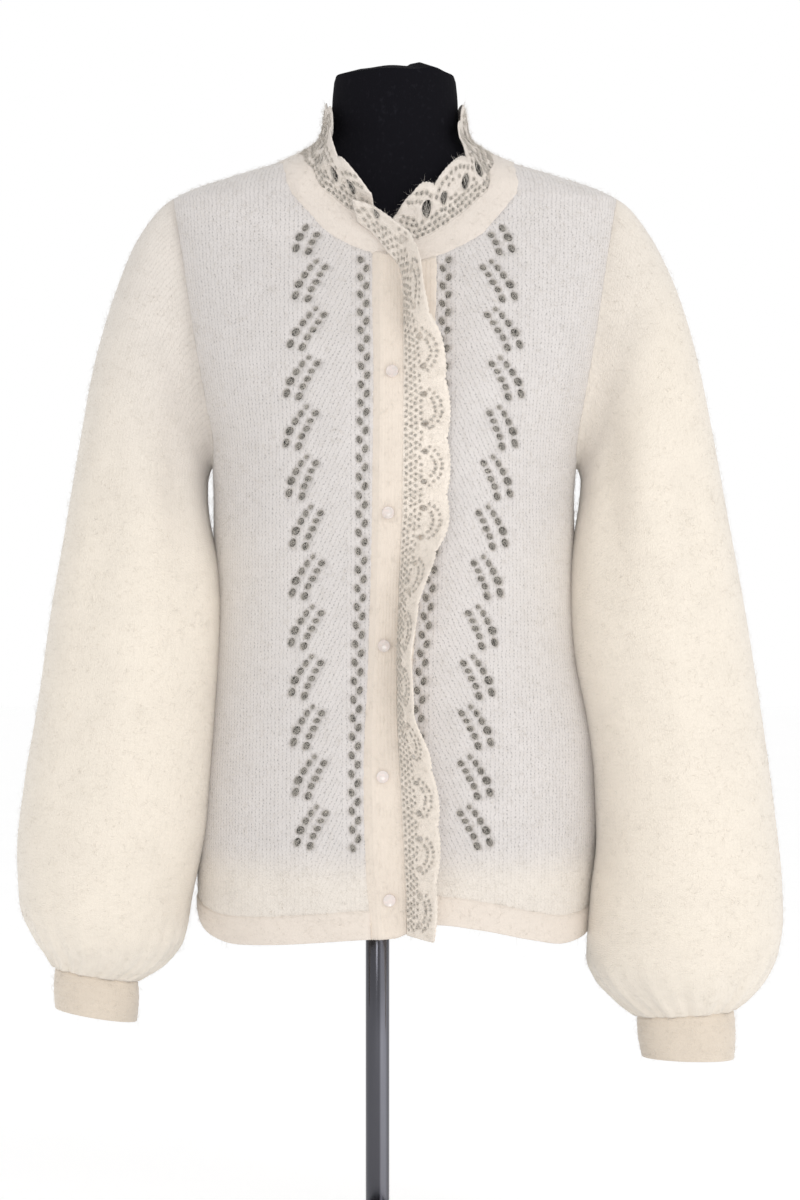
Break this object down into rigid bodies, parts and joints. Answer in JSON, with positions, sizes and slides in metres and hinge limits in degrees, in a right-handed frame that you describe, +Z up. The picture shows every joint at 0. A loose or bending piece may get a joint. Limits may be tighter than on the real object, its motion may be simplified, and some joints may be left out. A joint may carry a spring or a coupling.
{
  "type": "cardigan on a dress form",
  "caption": "Light mohair cardigan with eyelet fronts, crochet collar and edging, button placket and balloon sleeves, worn by a limbless dress form on a pole and round base.",
  "frame": {"origin": "middle of the base's underside, on the floor under the pole", "axes": "+Z up, -Y the front of the cardigan, +X the wearer's left"},
  "size_m": [0.6051, 0.2921, 0.965],
  "materials": {
    "knit": "fuzzy sheer knit",
    "knit_band": "fuzzy double knit",
    "crochet": "crochet lace",
    "pearl": "pearly gloss",
    "form_jersey": "matt jersey",
    "chrome": "polished"
  },
  "bodies": {
    "root": {"front_right": "knit", "front_left": "knit", "back": "knit", "sleeve_right": "knit", "sleeve_left": "knit", "hem_band_right": "knit_band", "hem_band_left": "knit_band", "hem_band_back": "knit_band", "neck_band": "knit_band", "placket_right": "knit_band", "placket_left": "knit_band", "cuff_right": "knit_band", "cuff_left": "knit_band", "collar_lace": "crochet", "front_lace": "crochet", "button_1": "pearl", "button_2": "pearl", "button_3": "pearl", "button_4": "pearl", "button_5": "pearl", "form_body": "form_jersey", "form_pole": "chrome", "form_base": "chrome"}
  },
  "joints": []
}
